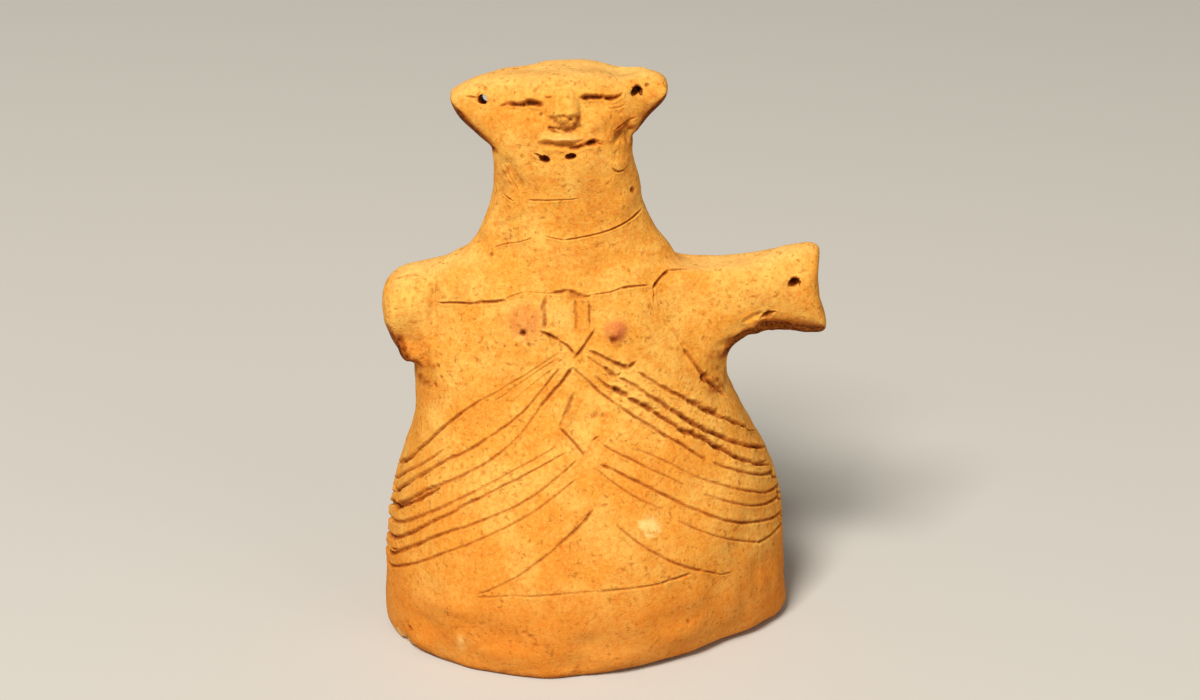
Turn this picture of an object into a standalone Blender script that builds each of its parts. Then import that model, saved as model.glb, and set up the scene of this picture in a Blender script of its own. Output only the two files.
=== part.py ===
"""A hand-modelled fired clay figurine of a woman, made as one lump and standing on its own base.

Metres, +Z up, the front faces -Y. The origin is on the floor under the middle of the base.

The body starts as a layout of blocks: rows from base to crown, columns from side to side and two
layers from front to back, with arms and ears as blocks beside the rows. A subdivision surface rounds
it as a potter's thumbs would. Nose, lip and breasts are lumps pressed on, and the holes, slits and
incised lines are then cut out of the whole.
"""

import math
from collections import namedtuple

import bmesh
import bpy
from mathutils import Matrix, Vector
from mathutils.bvhtree import BVHTree

HEIGHT = 0.1539
# The figure's proportions are written in this unit, which is a millimetre at the real height.
UNIT = HEIGHT / 153.9

EAR_HOLE = 0.0027
HAND_HOLE = 0.0031
CHIN_HOLE = 0.0026
CHIN_HOLE_DEPTH = 0.0032
BREAST_PIT = 0.0014
BREAST_PIT_DEPTH = 0.0012
FINE_LINE = 0.0009
FOLD_LINE = 0.0013
BURRED_LINE = 0.0018
EYE_SLIT = 0.0017
MOUTH_SLIT = 0.0020
# Every incised line is this many times as wide as it is deep.
LINE_SHAPE = 2.0

CLAY_COLOUR = (0.72, 0.35, 0.10, 1.0)
CLAY_ROUGHNESS = 0.85

ROUNDING = 2
FITTING_ROUNDS = 6
FACETS_KEPT = 0.5
ROUTE_PARTS = 80
LINE_STEP = 5.0
END_TAPER = 0.5
HOLE_SIDES = 14

FRONT, MIDDLE, BACK = 0, 1, 2
ARM_ROWS = (6, 7, 8)
EAR_ROWS = (12, 13, 14)
# Degrees round the body, from its front or its back, at which each column of blocks has its edge.
COLUMN_ANGLE = {-2: -56, -1: -29, 0: 0, 1: 29, 2: 56}

# A rib of the body: its height, the middle and half of its width, its depth in front and behind,
# how far its front point is moved sideways, its fullness and how much lower its sides hang.
# Fullness 0 is an oval, towards 1 a flat plate, and below 0 a wedge that comes to a ridge.
Rib = namedtuple("Rib", "height middle half front back shift fullness droop")

RIBS = (
    Rib(-7, 0.2, 48, 37, 27, -7, -0.08, 0),
    Rib(3, 0.4, 53.8, 44, 33, -8, -0.08, 0),
    Rib(18, -0.1, 54.2, 43.5, 36, -6, 0, 0),
    Rib(36, -0.3, 52.4, 38, 37, -3, 0, 0),
    Rib(52, -1.1, 46.8, 31, 32, -1, 0, 0),
    Rib(65, -3.0, 42.6, 25.5, 25, 0, 0, 0),
    Rib(76, -4.2, 42.2, 21.5, 18, 0, 0, 0),
    Rib(90, -4.3, 38.5, 18, 14, 0, 0, 0),
    Rib(101.7, -4.2, 33.0, 14.5, 11.5, 0, 0, 0),
    Rib(107, -3.4, 25.8, 13.3, 11, 0, 0, 0),
    Rib(115, -4.2, 21.2, 12.5, 10, 0, 0.1, 0),
    Rib(125, -4.6, 18.7, 12.5, 9, 0, 0.2, 0),
    Rib(134, -5.6, 18.0, 12.6, 9, 0, 0.3, 0),
    Rib(145, -6.2, 16.8, 10.5, 10, 0, 0.5, 0),
    Rib(153.3, -3.2, 13.8, 5, 10, 0, 0.5, 1.0),
)

# Sections across the limbs, from the body outwards: distance from the middle of the figure at the
# underside, the middle and the top, height of each of them, and half the thickness.
RIGHT_ARM = (
    ((44.0, 44.5, 44.5), (80.8, 92.0, 103.4), 8.8),
    ((54.5, 54.0, 53.0), (81.8, 93.5, 105.5), 7.6),
    ((63.8, 61.6, 61.0), (82.2, 94.5, 105.3), 6.3),
)
LEFT_ARM = (
    ((-48.4, -46.5, -41.5), (75.4, 88.0, 100.6), 8.8),
    ((-52.9, -53.6, -51.2), (81.5, 88.5, 97.5), 8.0),
)
LEFT_EAR = (
    ((-28.0, -28.0, -25.5), (136.6, 144.5, 151.6), 5.8),
    ((-32.8, -34.3, -32.6), (141.8, 146.0, 148.7), 4.6),
)
RIGHT_EAR = (
    ((15.6, 15.8, 15.0), (139.2, 146.5, 153.9), 5.8),
    ((20.6, 22.1, 20.6), (144.0, 148.7, 152.6), 4.6),
)
# How far back the ears sit, as a share of their thickness.
EAR_LEAN = 0.3
# A limb's rim, where its front and back faces turn in: how far in from its edge, as a share of the
# way to its middle, and how much of its thickness is left there.
RIM_SHARE = 0.2
RIM_THICKNESS = 0.72
# How far the front and back corners of a limb's end are drawn in, as a share of its thickness.
END_SHARE = 0.2

# An incised line seen from the front: its two ends, how far its middle rises above the straight run
# between them, how far its first half sways the same way, and its width at both ends.
Line = namedtuple("Line", "start end rise sway width end_width")

LEFT_FOLDS = (
    Line((-6.3, 85.5), (-49.3, 45.5), 3.0, 0, FINE_LINE, BURRED_LINE),
    Line((-36.4, 56.3), (-50.7, 41.2), 0.4, -0.3, FINE_LINE, FOLD_LINE),
    Line((-7.5, 79.3), (-52.3, 36.9), -0.7, -1.2, FOLD_LINE, FOLD_LINE),
    Line((-4.5, 78.0), (-52.9, 33.9), -2.0, -1.4, FOLD_LINE, BURRED_LINE),
    Line((-7.2, 60.5), (-53.5, 29.2), 1.2, -0.3, FINE_LINE, FOLD_LINE),
    Line((-4.3, 59.2), (-53.5, 25.5), 2.0, -0.9, FINE_LINE, FOLD_LINE),
    Line((-1.5, 57.0), (-53.5, 22.3), 0.8, -0.7, FOLD_LINE, FOLD_LINE),
    Line((-3.3, 51.0), (-53.2, 18.6), 0.8, -0.3, FINE_LINE, FOLD_LINE),
)
RIGHT_FOLDS = (
    Line((1.7, 83.9), (42.3, 55.6), 2.2, 0, BURRED_LINE, BURRED_LINE),
    Line((0.2, 81.6), (45.7, 49.7), 1.0, -0.2, FOLD_LINE, BURRED_LINE),
    Line((2.2, 78.0), (48.6, 44.8), 1.0, -0.3, BURRED_LINE, BURRED_LINE),
    Line((-1.5, 77.2), (50.0, 41.5), -0.7, -0.5, FOLD_LINE, FOLD_LINE),
    Line((13.6, 59.2), (51.3, 37.2), 0.5, 0, FINE_LINE, FOLD_LINE),
    Line((4.8, 60.2), (51.3, 34.6), -0.3, 0.4, FINE_LINE, FOLD_LINE),
    Line((3.7, 56.4), (53.1, 28.3), 0.5, -0.3, FOLD_LINE, FOLD_LINE),
    Line((3.7, 53.6), (53.1, 24.6), -1.4, 0.6, FOLD_LINE, FOLD_LINE),
)
DRESS_LINES = (
    # the edge across the chest, dipping at the middle, and the crack that runs up to the shoulder
    Line((-38.5, 92.8), (-2.2, 98.9), 1.0, -0.8, FOLD_LINE, FOLD_LINE),
    Line((-1.0, 97.2), (16.6, 99.3), 0.6, 0, FOLD_LINE, FINE_LINE),
    Line((18.0, 94.3), (20.8, 101.3), 1.2, 0, FOLD_LINE, FOLD_LINE),
    Line((21.9, 102.0), (33.0, 101.2), 0, 0, FOLD_LINE, FINE_LINE),
    # the fringe and the pendant below it
    Line((-10.2, 96.6), (-10.2, 90.0), 0, 0, FINE_LINE, FINE_LINE),
    Line((-2.4, 95.6), (-2.4, 90.0), 0, 0, FINE_LINE, FINE_LINE),
    Line((1.2, 95.4), (1.2, 90.4), 0, 0, FINE_LINE, FINE_LINE),
    Line((-11.5, 88.7), (-3.1, 82.9), 1.0, 0, FOLD_LINE, FOLD_LINE),
    Line((3.0, 89.5), (-1.8, 83.4), 0, 0, FOLD_LINE, FOLD_LINE),
    # the seam under the arm, the two sides of the split skirt and its hem
    Line((20.6, 90.1), (37.9, 65.4), 0, 0, FINE_LINE, BURRED_LINE),
    Line((1.9, 45.3), (-28.6, 22.8), -1.7, -0.3, FOLD_LINE, FINE_LINE),
    Line((8.4, 41.4), (38.9, 22.9), -1.6, 0, FINE_LINE, FOLD_LINE),
    Line((-26.0, 21.3), (27.5, 25.6), 0.9, 0, FINE_LINE, FINE_LINE),
    # the lozenge between the folds
    Line((-3.3, 71.1), (-6.6, 65.5), 0, 0, FOLD_LINE, FOLD_LINE),
    Line((-6.2, 63.6), (-0.6, 58.4), 0, 0, FINE_LINE, FINE_LINE),
    Line((1.0, 58.9), (3.7, 62.6), 0, 0, FOLD_LINE, FINE_LINE),
)
NECK_LINES = (
    Line((-10.6, 113.5), (14.3, 117.9), -2.9, 0, FINE_LINE, FOLD_LINE),
    Line((-23.7, 107.8), (-13.2, 112.2), 0, 0, FINE_LINE, FINE_LINE),
    Line((-13.4, 121.9), (-3.7, 123.2), 0, 0, FINE_LINE, FINE_LINE),
)
FACE_LINES = (
    Line((-18.6, 147.7), (-10.7, 147.9), 0.2, 0, EYE_SLIT, EYE_SLIT),
    Line((-1.7, 149.7), (8.4, 149.2), -0.2, 0.3, EYE_SLIT, EYE_SLIT),
    Line((-11.4, 138.1), (4.2, 137.9), 0.3, 0, FOLD_LINE, MOUTH_SLIT),
)

# A lump pressed on: its middle seen from the front, its half sizes across, out and up, and how far
# its own middle is sunk under the surface.
Lump = namedtuple("Lump", "place across out up sunk")

LUMPS = (
    Lump((-5.4, 145.0), 3.9, 3.0, 6.0, 0.8),
    Lump((-5.6, 140.0), 5.3, 2.0, 1.6, 0.7),
    Lump((-16.2, 90.8), 3.4, 1.6, 3.4, 0.7),
    Lump((8.1, 88.9), 2.2, 1.8, 2.0, 0.5),
)


def depth_share(angle, fullness):
    """How much of a rib's depth is left at an angle round from its front or its back."""
    oval = math.cos(angle)
    if fullness > 0:
        return oval + fullness * (1 - oval)
    return oval + fullness * (oval - (1 - abs(math.sin(angle))))


def body_point(column, row, layer):
    """A corner of the blocks on one of the body's ribs, in units."""
    rib = RIBS[row]
    height = rib.height - rib.droop * (column / 2) ** 2
    if layer == MIDDLE:
        return Vector((rib.middle + rib.half * column / 2, (rib.back - rib.front) / 2, height))
    angle = math.radians(COLUMN_ANGLE[column])
    across = rib.middle + rib.half * math.sin(angle)
    share = depth_share(angle, rib.fullness)
    if layer == FRONT:
        return Vector((across + rib.shift * math.cos(angle), -rib.front * share, height))
    return Vector((across, rib.back * share, height))


def limb_point(sections, step, level, layer, lean):
    """A corner of the blocks on an arm or an ear, in units."""
    across, heights, thickness = sections[step]
    x, z = across[level], heights[level]
    y = lean * thickness
    if layer == MIDDLE:
        return Vector((x, y, z))
    if step == len(sections) - 1:
        x -= math.copysign(END_SHARE * thickness, x)
    if level != 1:
        z += RIM_SHARE * (heights[1] - z)
        thickness *= RIM_THICKNESS
    return Vector((x, y + (thickness if layer == BACK else -thickness), z))


def station(column, row, layer):
    """Where a corner of the block layout lies on the finished surface, in units."""
    if column in COLUMN_ANGLE:
        return body_point(column, row, layer)
    step = abs(column) - 3
    if row in ARM_ROWS:
        sections = RIGHT_ARM if column > 0 else LEFT_ARM
        return limb_point(sections, step, row - ARM_ROWS[0], layer, 0)
    sections = RIGHT_EAR if column > 0 else LEFT_EAR
    return limb_point(sections, step, row - EAR_ROWS[0], layer, EAR_LEAN)


def block_layout():
    """The blocks, each named by the column, row and layer of its lowest corner."""
    body = {(c, r, k) for c in range(-2, 2) for r in range(len(RIBS) - 1) for k in (0, 1)}
    arms = {(c, r, k) for c in (-4, -3, 2, 3, 4) for r in ARM_ROWS[:2] for k in (0, 1)}
    ears = {(c, r, k) for c in (-4, -3, 2, 3) for r in EAR_ROWS[:2] for k in (0, 1)}
    return body | arms | ears


# The six sides of a block: the step to its neighbour, and its corners turning outwards.
BLOCK_SIDES = (
    ((0, 0, -1), ((0, 0, 0), (1, 0, 0), (1, 1, 0), (0, 1, 0))),
    ((0, 0, 1), ((0, 0, 1), (0, 1, 1), (1, 1, 1), (1, 0, 1))),
    ((-1, 0, 0), ((0, 0, 0), (0, 1, 0), (0, 1, 1), (0, 0, 1))),
    ((1, 0, 0), ((1, 0, 0), (1, 0, 1), (1, 1, 1), (1, 1, 0))),
    ((0, -1, 0), ((0, 0, 0), (0, 0, 1), (1, 0, 1), (1, 0, 0))),
    ((0, 1, 0), ((0, 1, 0), (1, 1, 0), (1, 1, 1), (0, 1, 1))),
)


def limit_position(vertex):
    """Where a subdivision surface of quads passes this corner of its cage."""
    count = len(vertex.link_edges)
    along = sum((edge.other_vert(vertex).co for edge in vertex.link_edges), Vector())
    across = sum((loop.link_loop_next.link_loop_next.vert.co for loop in vertex.link_loops), Vector())
    return (count * count * vertex.co + 4 * along + across) / (count * (count + 5))


def body_cage():
    """The open side of every block as a mesh, pushed out until its rounded surface meets the stations."""
    blocks = block_layout()
    cage = bmesh.new()
    corners = {}
    for block in sorted(blocks):
        for step, side in BLOCK_SIDES:
            if tuple(b + s for b, s in zip(block, step)) in blocks:
                continue
            face = []
            for offset in side:
                place = tuple(b + o for b, o in zip(block, offset))
                if place not in corners:
                    corners[place] = cage.verts.new(station(*place) * UNIT)
                face.append(corners[place])
            cage.faces.new(face)
    targets = {vertex: vertex.co.copy() for vertex in cage.verts}
    for _ in range(FITTING_ROUNDS):
        moves = {vertex: target - limit_position(vertex) for vertex, target in targets.items()}
        for vertex, move in moves.items():
            vertex.co += move
    return cage


def add_object(name, shape, collection):
    """Turns a bmesh into an object of its own."""
    data = bpy.data.meshes.new(name)
    shape.to_mesh(data)
    shape.free()
    obj = bpy.data.objects.new(name, data)
    collection.objects.link(obj)
    return obj


def add_collection(name):
    collection = bpy.data.collections.new(name)
    bpy.context.scene.collection.children.link(collection)
    return collection


def make_clay():
    clay = bpy.data.materials.new("fired_clay")
    clay.use_nodes = True
    shader = clay.node_tree.nodes["Principled BSDF"]
    shader.inputs["Base Color"].default_value = CLAY_COLOUR
    shader.inputs["Roughness"].default_value = CLAY_ROUGHNESS
    shader.inputs["Metallic"].default_value = 0.0
    return clay


def make_body(collection):
    """The rounded body before anything is pressed on or cut."""
    body = add_object("figurine", body_cage(), collection)
    rounding = body.modifiers.new("rounding", "SUBSURF")
    rounding.levels = rounding.render_levels = ROUNDING
    facets = body.modifiers.new("facets", "DECIMATE")
    facets.ratio = FACETS_KEPT
    return body


class Skin:
    """Finds the body's surface from in front."""

    def __init__(self, body):
        bpy.context.view_layer.update()
        self.tree = BVHTree.FromObject(body, bpy.context.evaluated_depsgraph_get())

    def front(self, across, height):
        """The point of the surface seen at a place of the front view in units, and its way out."""
        start = Vector((across * UNIT, -HEIGHT, height * UNIT))
        point, normal, _, _ = self.tree.ray_cast(start, Vector((0, 1, 0)))
        return point, normal


def line_route(line, skin):
    """The points of the surface under an incised line, close together, each with its way out."""
    start, end = Vector(line.start), Vector(line.end)
    run = end - start
    up = Vector((-run.y, run.x)).normalized() * (1 if run.x > 0 else -1)
    route = []
    for index in range(ROUTE_PARTS + 1):
        t = index / ROUTE_PARTS
        rise = line.rise * 4 * t * (1 - t) + line.sway * math.sin(2 * math.pi * t)
        route.append(skin.front(*(start + run * t + up * rise)))
    return route


def line_points(line, skin):
    """Points evenly spaced over the surface along an incised line, each with the width there."""
    route = line_route(line, skin)
    reached = [0.0]
    for (before, _), (after, _) in zip(route, route[1:]):
        reached.append(reached[-1] + (after - before).length)
    count = max(2, round(reached[-1] / (LINE_STEP * UNIT)))
    points = []
    for index in range(count + 1):
        spot = min(range(len(route)), key=lambda i: abs(reached[i] - reached[-1] * index / count))
        point, normal = route[spot]
        width = line.width + (line.end_width - line.width) * index / count
        if index in (0, count):
            width *= END_TAPER
        radius = width / 2
        depth = width / LINE_SHAPE
        points.append((point + normal * (radius - depth), radius))
    return points


def add_lines(name, lines, skin, collection):
    """One cutter holding a thin tube along every line."""
    curve = bpy.data.curves.new(name, "CURVE")
    curve.dimensions = "3D"
    curve.bevel_depth = 1.0
    curve.bevel_resolution = 0
    curve.use_fill_caps = True
    for line in lines:
        points = line_points(line, skin)
        spline = curve.splines.new("POLY")
        spline.points.add(len(points) - 1)
        for knot, (place, radius) in zip(spline.points, points):
            knot.co = (*place, 1)
            knot.radius = radius
    route = bpy.data.objects.new(name + "_route", curve)
    collection.objects.link(route)
    bpy.context.view_layer.update()
    data = bpy.data.meshes.new_from_object(route.evaluated_get(bpy.context.evaluated_depsgraph_get()))
    tubes = bmesh.new()
    tubes.from_mesh(data)
    bmesh.ops.remove_doubles(tubes, verts=tubes.verts, dist=1e-6)
    bmesh.ops.recalc_face_normals(tubes, faces=tubes.faces)
    bpy.data.objects.remove(route)
    bpy.data.curves.remove(curve)
    bpy.data.meshes.remove(data)
    return add_object(name, tubes, collection)


def add_hole(shape, centre, direction, diameter, length, stretch=1.0):
    """A round drill through a point, made wider across where stretch is over 1."""
    turn = Vector((0, 0, 1)).rotation_difference(direction).to_matrix().to_4x4()
    place = Matrix.Translation(centre) @ Matrix.Diagonal((stretch, 1, 1, 1)) @ turn
    bmesh.ops.create_cone(
        shape, cap_ends=True, segments=HOLE_SIDES, radius1=diameter / 2, radius2=diameter / 2,
        depth=length, matrix=place)


def add_holes(skin, collection):
    """The holes through ears and hand, and the blind ones in the chin and a breast."""
    drills = bmesh.new()
    through = 40 * UNIT
    for across, height, diameter, way in (
        (-26.0, 147.0, EAR_HOLE, (0.10, 1, -0.25)),
        (13.3, 149.0, EAR_HOLE, (-0.10, 1, -0.15)),
        (54.4, 97.4, HAND_HOLE, (0.05, 1, -0.15)),
    ):
        point, _ = skin.front(across, height)
        add_hole(drills, point, Vector(way), diameter, through)
    for across, height in ((-10.2, 134.4), (-3.4, 135.1)):
        point, _ = skin.front(across, height)
        add_hole(drills, point, Vector((0, 1, 0)), CHIN_HOLE, 2 * CHIN_HOLE_DEPTH, 1.25)
    point, normal = skin.front(-15.9, 88.4)
    add_hole(drills, point + normal * 0.9 * UNIT, normal, BREAST_PIT, 2 * BREAST_PIT_DEPTH)
    return add_object("holes", drills, collection)


def add_lumps(skin, collection):
    """Nose, upper lip and breasts as flattened balls of clay, sunk into the surface."""
    lumps = bmesh.new()
    for lump in LUMPS:
        point, normal = skin.front(*lump.place)
        centre = point - normal * lump.sunk * UNIT
        size = Matrix.Diagonal((lump.across * UNIT, lump.out * UNIT, lump.up * UNIT, 1))
        bmesh.ops.create_icosphere(lumps, subdivisions=2, radius=1, matrix=Matrix.Translation(centre) @ size)
    return add_object("lumps", lumps, collection)


def add_floor(collection):
    """The board the soft clay was pressed flat on: everything below it goes."""
    board = bmesh.new()
    width = 2 * HEIGHT
    place = Matrix.Translation((0, 0, -width / 2)) @ Matrix.Scale(width, 4)
    bmesh.ops.create_cube(board, size=1, matrix=place)
    return add_object("floor", board, collection)


def combine(body, operation, tool):
    """Presses a tool's shape on to the body, or cuts it out."""
    tool.hide_render = True
    tool.display_type = "WIRE"
    step = body.modifiers.new(tool.name, "BOOLEAN")
    step.operation = operation
    step.object = tool
    step.solver = "EXACT"
    # Only the lumps run into each other.
    step.use_self = operation == "UNION"


def main():
    for obj in list(bpy.data.objects):
        bpy.data.objects.remove(obj)
    parts = add_collection("clay_figurine")
    cutters = add_collection("cutters")
    body = make_body(parts)
    body.data.materials.append(make_clay())
    skin = Skin(body)
    tools = [
        ("UNION", add_lumps(skin, cutters)),
        ("DIFFERENCE", add_floor(cutters)),
        ("DIFFERENCE", add_holes(skin, cutters)),
        ("DIFFERENCE", add_lines("left_folds", LEFT_FOLDS, skin, cutters)),
        ("DIFFERENCE", add_lines("right_folds", RIGHT_FOLDS, skin, cutters)),
        ("DIFFERENCE", add_lines("dress_lines", DRESS_LINES, skin, cutters)),
        ("DIFFERENCE", add_lines("neck_lines", NECK_LINES, skin, cutters)),
        ("DIFFERENCE", add_lines("face_lines", FACE_LINES, skin, cutters)),
    ]
    for operation, tool in tools:
        combine(body, operation, tool)


main()
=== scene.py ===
"""The look of a small hand-modelled fired clay figurine of a woman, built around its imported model.

Metres, +Z up, the front faces -Y. Lengths named in millimetres are at the figurine's real size.
"""

import math
from collections import namedtuple

import bmesh
import bpy
import numpy as np
from mathutils import Matrix, Vector
from mathutils.bvhtree import BVHTree


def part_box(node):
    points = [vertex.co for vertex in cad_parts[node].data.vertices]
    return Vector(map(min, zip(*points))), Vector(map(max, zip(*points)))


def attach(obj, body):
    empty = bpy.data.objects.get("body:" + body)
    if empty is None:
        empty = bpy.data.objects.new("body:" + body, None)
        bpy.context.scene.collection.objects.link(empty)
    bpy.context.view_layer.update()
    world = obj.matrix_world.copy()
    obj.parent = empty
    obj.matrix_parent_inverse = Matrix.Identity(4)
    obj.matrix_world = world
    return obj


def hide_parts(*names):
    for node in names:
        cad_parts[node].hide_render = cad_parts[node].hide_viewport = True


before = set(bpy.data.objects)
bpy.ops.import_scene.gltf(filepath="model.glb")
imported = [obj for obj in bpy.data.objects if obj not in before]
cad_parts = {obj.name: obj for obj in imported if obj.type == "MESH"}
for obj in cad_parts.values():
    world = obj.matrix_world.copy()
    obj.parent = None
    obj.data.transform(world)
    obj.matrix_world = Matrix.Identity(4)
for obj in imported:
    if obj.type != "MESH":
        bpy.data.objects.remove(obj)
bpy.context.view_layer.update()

# The lump. One handful of coarse clay, pinched into a bell-shaped skirt, a flat chest with two arms
# held out, a thick neck and a wide flat head. It was dried standing, so its underside is flat.
# Everything else on the figurine is pressed on to this lump or cut into it.

# Proportions are written in millimetres of the real figurine, which is 153.9 of them tall.
low, high = (Vector(corner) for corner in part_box("figurine"))
MM = (high.z - low.z) / 153.9

FRONT, MIDDLE, BACK = 0, 1, 2
ARM_ROWS = (6, 7, 8)
EAR_ROWS = (12, 13, 14)
COLUMN_ANGLE = {-2: -56, -1: -29, 0: 0, 1: 29, 2: 56}

# A rib of the body: its height, the middle and half of its width, its depth in front and behind,
# how far its front point is moved sideways, its fullness and how much lower its sides hang.
# Fullness 0 is an oval, towards 1 a flat plate, and below 0 a wedge that comes to a ridge.
Rib = namedtuple("Rib", "height middle half front back shift fullness droop")

RIBS = (
    Rib(-7, 0.2, 48, 37, 27, -7, -0.08, 0),
    Rib(3, 0.4, 53.8, 44, 33, -8, -0.08, 0),
    Rib(18, -0.1, 54.2, 43.5, 36, -6, 0, 0),
    Rib(36, -0.3, 52.4, 38, 37, -3, 0, 0),
    Rib(52, -1.1, 46.8, 31, 32, -1, 0, 0),
    Rib(65, -3.0, 42.6, 25.5, 25, 0, 0, 0),
    Rib(76, -4.2, 42.2, 21.5, 18, 0, 0, 0),
    Rib(90, -4.3, 38.5, 18, 14, 0, 0, 0),
    Rib(101.7, -4.2, 33.0, 14.5, 11.5, 0, 0, 0),
    Rib(107, -3.4, 25.8, 13.3, 11, 0, 0, 0),
    Rib(115, -4.2, 21.2, 12.5, 10, 0, 0.1, 0),
    Rib(125, -4.6, 18.7, 12.5, 9, 0, 0.2, 0),
    Rib(134, -5.6, 18.0, 12.6, 9, 0, 0.3, 0),
    Rib(145, -6.2, 16.8, 10.5, 10, 0, 0.5, 0),
    Rib(153.3, -3.2, 13.8, 5, 10, 0, 0.5, 1.0),
)

# Sections across the limbs, from the body outwards: distance from the middle of the figure at the
# underside, the middle and the top, height of each of them, and half the thickness.
RIGHT_ARM = (
    ((44.0, 44.5, 44.5), (80.8, 92.0, 103.4), 8.8),
    ((54.5, 54.0, 53.0), (81.8, 93.5, 105.5), 7.6),
    ((63.8, 61.6, 61.0), (82.2, 94.5, 105.3), 6.3),
)
LEFT_ARM = (
    ((-48.4, -46.5, -41.5), (75.4, 88.0, 100.6), 8.8),
    ((-52.9, -53.6, -51.2), (81.5, 88.5, 97.5), 8.0),
)
LEFT_EAR = (
    ((-28.0, -28.0, -25.5), (136.6, 144.5, 151.6), 5.8),
    ((-32.8, -34.3, -32.6), (141.8, 146.0, 148.7), 4.6),
)
RIGHT_EAR = (
    ((15.6, 15.8, 15.0), (139.2, 146.5, 153.9), 5.8),
    ((20.6, 22.1, 20.6), (144.0, 148.7, 152.6), 4.6),
)
EAR_LEAN = 0.3
RIM_SHARE = 0.2
RIM_THICKNESS = 0.72
END_SHARE = 0.2
FITTING_ROUNDS = 6
FINE_LEVELS = 4


def depth_share(angle, fullness):
    """How much of a rib's depth is left at an angle round from its front or its back."""
    oval = math.cos(angle)
    if fullness > 0:
        return oval + fullness * (1 - oval)
    return oval + fullness * (oval - (1 - abs(math.sin(angle))))


def body_point(column, row, layer):
    """A corner of the clay blocks on one of the body's ribs."""
    rib = RIBS[row]
    height = rib.height - rib.droop * (column / 2) ** 2
    if layer == MIDDLE:
        return Vector((rib.middle + rib.half * column / 2, (rib.back - rib.front) / 2, height))
    angle = math.radians(COLUMN_ANGLE[column])
    across = rib.middle + rib.half * math.sin(angle)
    share = depth_share(angle, rib.fullness)
    if layer == FRONT:
        return Vector((across + rib.shift * math.cos(angle), -rib.front * share, height))
    return Vector((across, rib.back * share, height))


def limb_point(sections, step, level, layer, lean):
    """A corner of the clay blocks on an arm or an ear."""
    across, heights, thickness = sections[step]
    x, z = across[level], heights[level]
    y = lean * thickness
    if layer == MIDDLE:
        return Vector((x, y, z))
    if step == len(sections) - 1:
        x -= math.copysign(END_SHARE * thickness, x)
    if level != 1:
        z += RIM_SHARE * (heights[1] - z)
        thickness *= RIM_THICKNESS
    return Vector((x, y + (thickness if layer == BACK else -thickness), z))


def station(column, row, layer):
    """Where a corner of the clay blocks lies on the rounded surface."""
    if column in COLUMN_ANGLE:
        return body_point(column, row, layer)
    step = abs(column) - 3
    if row in ARM_ROWS:
        sections = RIGHT_ARM if column > 0 else LEFT_ARM
        return limb_point(sections, step, row - ARM_ROWS[0], layer, 0)
    sections = RIGHT_EAR if column > 0 else LEFT_EAR
    return limb_point(sections, step, row - EAR_ROWS[0], layer, EAR_LEAN)


body_blocks = {(c, r, k) for c in range(-2, 2) for r in range(len(RIBS) - 1) for k in (0, 1)}
arm_blocks = {(c, r, k) for c in (-4, -3, 2, 3, 4) for r in ARM_ROWS[:2] for k in (0, 1)}
ear_blocks = {(c, r, k) for c in (-4, -3, 2, 3) for r in EAR_ROWS[:2] for k in (0, 1)}
blocks = body_blocks | arm_blocks | ear_blocks

# The six sides of a block: the step to its neighbour, and its corners turning outwards.
BLOCK_SIDES = (
    ((0, 0, -1), ((0, 0, 0), (1, 0, 0), (1, 1, 0), (0, 1, 0))),
    ((0, 0, 1), ((0, 0, 1), (0, 1, 1), (1, 1, 1), (1, 0, 1))),
    ((-1, 0, 0), ((0, 0, 0), (0, 1, 0), (0, 1, 1), (0, 0, 1))),
    ((1, 0, 0), ((1, 0, 0), (1, 0, 1), (1, 1, 1), (1, 1, 0))),
    ((0, -1, 0), ((0, 0, 0), (0, 0, 1), (1, 0, 1), (1, 0, 0))),
    ((0, 1, 0), ((0, 1, 0), (1, 1, 0), (1, 1, 1), (0, 1, 1))),
)


def limit_position(vertex):
    """Where a subdivision surface of quads passes this corner of its cage."""
    count = len(vertex.link_edges)
    along = sum((edge.other_vert(vertex).co for edge in vertex.link_edges), Vector())
    across = sum((loop.link_loop_next.link_loop_next.vert.co for loop in vertex.link_loops), Vector())
    return (count * count * vertex.co + 4 * along + across) / (count * (count + 5))


def block_cage():
    """The open side of every block, pushed out until its rounded surface meets the stations."""
    cage = bmesh.new()
    corners = {}
    for block in sorted(blocks):
        for step, side in BLOCK_SIDES:
            if tuple(b + s for b, s in zip(block, step)) in blocks:
                continue
            face = []
            for offset in side:
                place = tuple(b + o for b, o in zip(block, offset))
                if place not in corners:
                    corners[place] = cage.verts.new(station(*place) * MM)
                face.append(corners[place])
            cage.faces.new(face)
    targets = {vertex: vertex.co.copy() for vertex in cage.verts}
    for _ in range(FITTING_ROUNDS):
        moves = {vertex: target - limit_position(vertex) for vertex, target in targets.items()}
        for vertex, move in moves.items():
            vertex.co += move
    return cage


def evaluated_mesh(obj):
    """A new mesh holding an object as its modifiers leave it."""
    bpy.context.view_layer.update()
    return bpy.data.meshes.new_from_object(obj.evaluated_get(bpy.context.evaluated_depsgraph_get()))


def add_mesh_object(name, shape):
    data = bpy.data.meshes.new(name)
    shape.to_mesh(data)
    shape.free()
    obj = bpy.data.objects.new(name, data)
    bpy.context.scene.collection.objects.link(obj)
    return obj


def read_points(mesh, field="co"):
    values = np.empty(len(mesh.vertices) * 3)
    mesh.vertices.foreach_get(field, values)
    return values.reshape(-1, 3)


lump = add_mesh_object("fired_clay_figurine", block_cage())
rounding = lump.modifiers.new("rounding", "SUBSURF")
rounding.levels = rounding.render_levels = FINE_LEVELS
fine = evaluated_mesh(lump)
lump.modifiers.clear()
points = read_points(fine)
skin = BVHTree.FromPolygons([Vector(p) for p in points], [tuple(f.vertices) for f in fine.polygons])


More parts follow.
